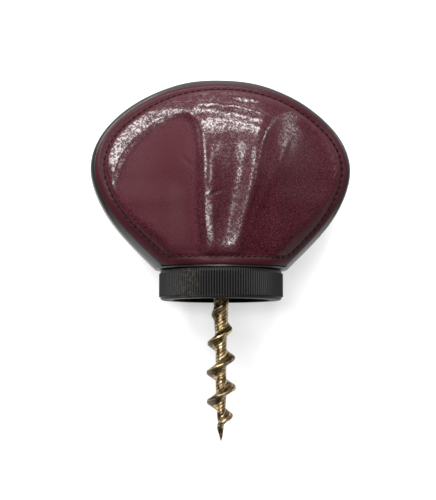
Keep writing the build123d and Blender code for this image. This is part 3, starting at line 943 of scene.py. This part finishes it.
def make_plain(name, low, high, rough):
    """A quiet finish for pieces that are seldom seen, with a little cloudiness."""
    material, tree, shader = new_material(name, Roughness=rough)
    cloud = add_node(tree, "ShaderNodeTexNoise", Scale=1500.0, Detail=4.0)
    tree.links.new(mix_colour(tree, cloud.outputs["Fac"], low, high), shader.inputs["Base Color"])
    add_bump(tree, shader, cloud.outputs["Fac"], 0.3, 0.05)
    return material


worm_metal = make_worm_metal()
zinc = make_zinc()
foam = make_plain("grey_foam", (0.07, 0.07, 0.07), (0.16, 0.16, 0.16), 0.9)
nylon = make_plain("natural_nylon", (0.62, 0.60, 0.54), (0.78, 0.76, 0.70), 0.4)
for node in ("shell_screws", "shell_dowels", "worm_pin", "worm_nut", "worm_washer"):
    paint(node, zinc)
for node in ("front_padding", "rear_padding"):
    paint(node, foam)
paint("slip_washer", nylon)

# %% [markdown]
# ## The worm
# A corkscrew worm of this kind is turned: a tapering core with one wedge-shaped flight. As a surface
# it is a single sheet wrapped round the axis, whose radius depends on the height and on how far the
# flight's crest is away. So the mesh is a fine grid of height and angle, with the radius as a formula.

# %% Worm settings
worm_pitch = 9.7
crest_at_right = -18.9
crest_land, crest_foot = 0.32, 2.25
flank_hollow = 1.25
point_length, point_blunt, point_round = 1.2, 0.03, 0.6
worm_step, worm_columns = 0.11, 144
core_places = [(-47.0, 0.12), (-44.0, 0.65), (-41.0, 1.0), (-35.0, 1.55), (-31.0, 1.75), (-16.5, 1.8),
               (-12.0, 1.95), (-7.0, 2.25), (0.0, 2.45), (3.0, 2.5)]
crest_places = [(-47.0, 0.1), (-42.5, 1.3), (-38.3, 3.95), (-33.3, 4.75), (-29.0, 4.95), (-24.0, 4.8),
                (-19.0, 4.65), (-14.5, 4.5), (-9.2, 3.7), (-4.8, 3.15), (0.0, 2.6), (3.0, 2.5)]


# %% Build the worm
def worm_radius(angle, height):
    """Radius of the worm's skin, and how far up the flight it is, from 0 to 1."""
    core = along(core_places, height)
    crest = np.maximum(along(crest_places, height), core)
    at = crest_at_right + worm_pitch * angle / (2 * np.pi)
    off = np.abs((height - at + worm_pitch / 2) % worm_pitch - worm_pitch / 2)
    climb = np.clip(1 - (off - crest_land) / (crest_foot - crest_land), 0, 1)
    return core + (crest - core) * climb ** flank_hollow, climb


def make_worm():
    """A grid of heights and angles. The angle runs from the right towards the back."""
    heights = np.arange(worm_top, worm_tip + 0.3, -worm_step)
    # Two last rings close the point just above the solid's tip
    heights = np.concatenate([heights, [worm_tip + 0.12, worm_tip + 0.02]])
    angle = np.linspace(0, 2 * np.pi, worm_columns, endpoint=False)
    grid_height, grid_angle = np.meshgrid(heights, angle, indexing="ij")
    radius, climb = worm_radius(grid_angle, grid_height)
    tip = np.clip((grid_height - worm_tip) / point_length, point_blunt, 1)
    radius = radius * tip ** point_round
    points = np.stack([radius * np.cos(grid_angle), grid_height, -radius * np.sin(grid_angle)], -1)
    points = points.reshape(-1, 3)
    faces = list(grid_faces(len(heights), worm_columns))
    last = [len(points) - worm_columns + i for i in range(worm_columns)]
    faces += [list(range(worm_columns))[::-1], last]
    piece = new_mesh("turned_worm", points, faces, worm_metal, "worm_unit")
    # Painted shade darkens the flight's slopes, most of all on the left side, and a painted highlight leaves
    # its crest edge lighter
    left_side_shade = 0.65 - 0.35 * np.cos(grid_angle)
    edge = np.clip((climb - 0.92) / 0.08, 0, 1)
    flight_painted_shade = smooth((climb - 0.15) / 0.5) * left_side_shade * (1 - 0.7 * edge)
    add_attribute(piece, "flight", flight_painted_shade.ravel())
    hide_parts("worm")
    return piece


worm = make_worm()
print("worm points:", len(worm.data.vertices))

# %% [markdown]
# ## Floor, light and camera
# The tool was photographed from above, lying on its back on a white sheet. A pale floor that glows a
# little towards the camera is white there, and keeps the soft shadow. The leather mirrors its lamps, so
# each lamp stands where one highlight of the photo points: two windows beyond the top and the corner,
# one on the left for the broad band, strips for the two ridges and the middle, a low one on the right,
# and a weak fill.

# %% Floor
floor_reach = 1500.0
floor_glow = 0.50


def make_floor():
    material = bpy.data.materials.new("white_sheet")
    material.use_nodes = True
    tree = material.node_tree
    tree.nodes.clear()
    link = tree.links.new
    paper = add_node(tree, "ShaderNodeBsdfDiffuse", Color=(0.92, 0.92, 0.92, 1))
    glow = add_node(tree, "ShaderNodeEmission", Strength=1.0)
    rays = tree.nodes.new("ShaderNodeLightPath")
    seen = math_node(tree, "ADD", rays.outputs["Is Camera Ray"], rays.outputs["Is Glossy Ray"], clamp=True)
    seen = math_node(tree, "ADD", seen, rays.outputs["Is Transmission Ray"], clamp=True)
    share = math_node(tree, "MULTIPLY", seen, floor_glow)
    mix = tree.nodes.new("ShaderNodeMixShader")
    end = tree.nodes.new("ShaderNodeOutputMaterial")
    link(share, mix.inputs[0])
    link(paper.outputs[0], mix.inputs[1])
    link(glow.outputs[0], mix.inputs[2])
    link(mix.outputs[0], end.inputs["Surface"])
    corners = [(x * floor_reach, y * floor_reach, floor_z) for x, y in ((-1, -1), (1, -1), (1, 1), (-1, 1))]
    mesh = bpy.data.meshes.new("floor")
    mesh.from_pydata([Vector(corner) * MM for corner in corners], [], [(0, 1, 2, 3)])
    mesh.materials.append(material)
    sheet = bpy.data.objects.new("floor", mesh)
    bpy.context.scene.collection.objects.link(sheet)


make_floor()


# %% Lamps and world
lamp_centre = Vector((0, 35, 10))
lamp_distance = 600.0


def add_lamp(name, way, wide, high, radiance):
    """A soft box in a direction from the handle, facing it. Sizes are in millimetres."""
    light = bpy.data.lights.new(name, "AREA")
    light.shape = "RECTANGLE"
    light.size = wide * MM
    light.size_y = high * MM
    light.energy = radiance * math.pi * light.size * light.size_y
    lamp = bpy.data.objects.new(name, light)
    bpy.context.scene.collection.objects.link(lamp)
    towards = Vector(way).normalized()
    lamp.location = (lamp_centre + towards * lamp_distance) * MM
    lamp.rotation_euler = towards.to_track_quat("Z", "Y").to_euler()


add_lamp("top_window", (-0.04, 0.92, 0.36), 470, 120, 24)
add_lamp("corner_window", (-0.52, 0.68, 0.50), 130, 190, 22)
add_lamp("left_window", (-0.56, 0.43, 0.71), 160, 190, 24)
add_lamp("left_strip", (-0.26, 0.02, 0.96), 90, 420, 24)
add_lamp("right_strip", (0.18, 0.64, 0.75), 90, 150, 24)
add_lamp("middle_strip", (0.02, 0.36, 0.93), 80, 170, 22)
add_lamp("right_glow", (0.82, 0.54, 0.14), 160, 150, 14)
add_lamp("right_fill", (0.62, 0.42, 0.66), 260, 260, 3)
world = bpy.data.worlds.new("studio")
world.use_nodes = True
sky = world.node_tree.nodes["Background"]
sky.inputs["Color"].default_value = (1, 1, 1, 1)
sky.inputs["Strength"].default_value = 0.2
bpy.context.scene.world = world
bpy.context.scene.view_settings.view_transform = "Standard"

# %% Camera
# The photo's 500 rows show this height, at the scale that sets the real size
frame_height = 166.7
camera_distance = 500.0
sensor_height = 36.0
look_at = Vector((-1.0, 16.8, 0.0))
lean_down, lean_left = math.radians(4.5), math.radians(6.0)
camera_data = bpy.data.cameras.new("camera")
camera_data.sensor_fit = "VERTICAL"
camera_data.sensor_height = sensor_height
camera_data.lens = sensor_height * camera_distance / frame_height
camera_data.clip_end = 20
camera = bpy.data.objects.new("camera", camera_data)
bpy.context.scene.collection.objects.link(camera)
away = Vector((-math.sin(lean_left), -math.sin(lean_down), math.cos(lean_left) * math.cos(lean_down)))
back = away.normalized()
camera.location = (look_at + back * camera_distance) * MM
across = Vector((0, 1, 0)).cross(back).normalized()
camera.rotation_euler = Matrix((across, back.cross(across), back)).transposed().to_euler()
bpy.context.scene.camera = camera
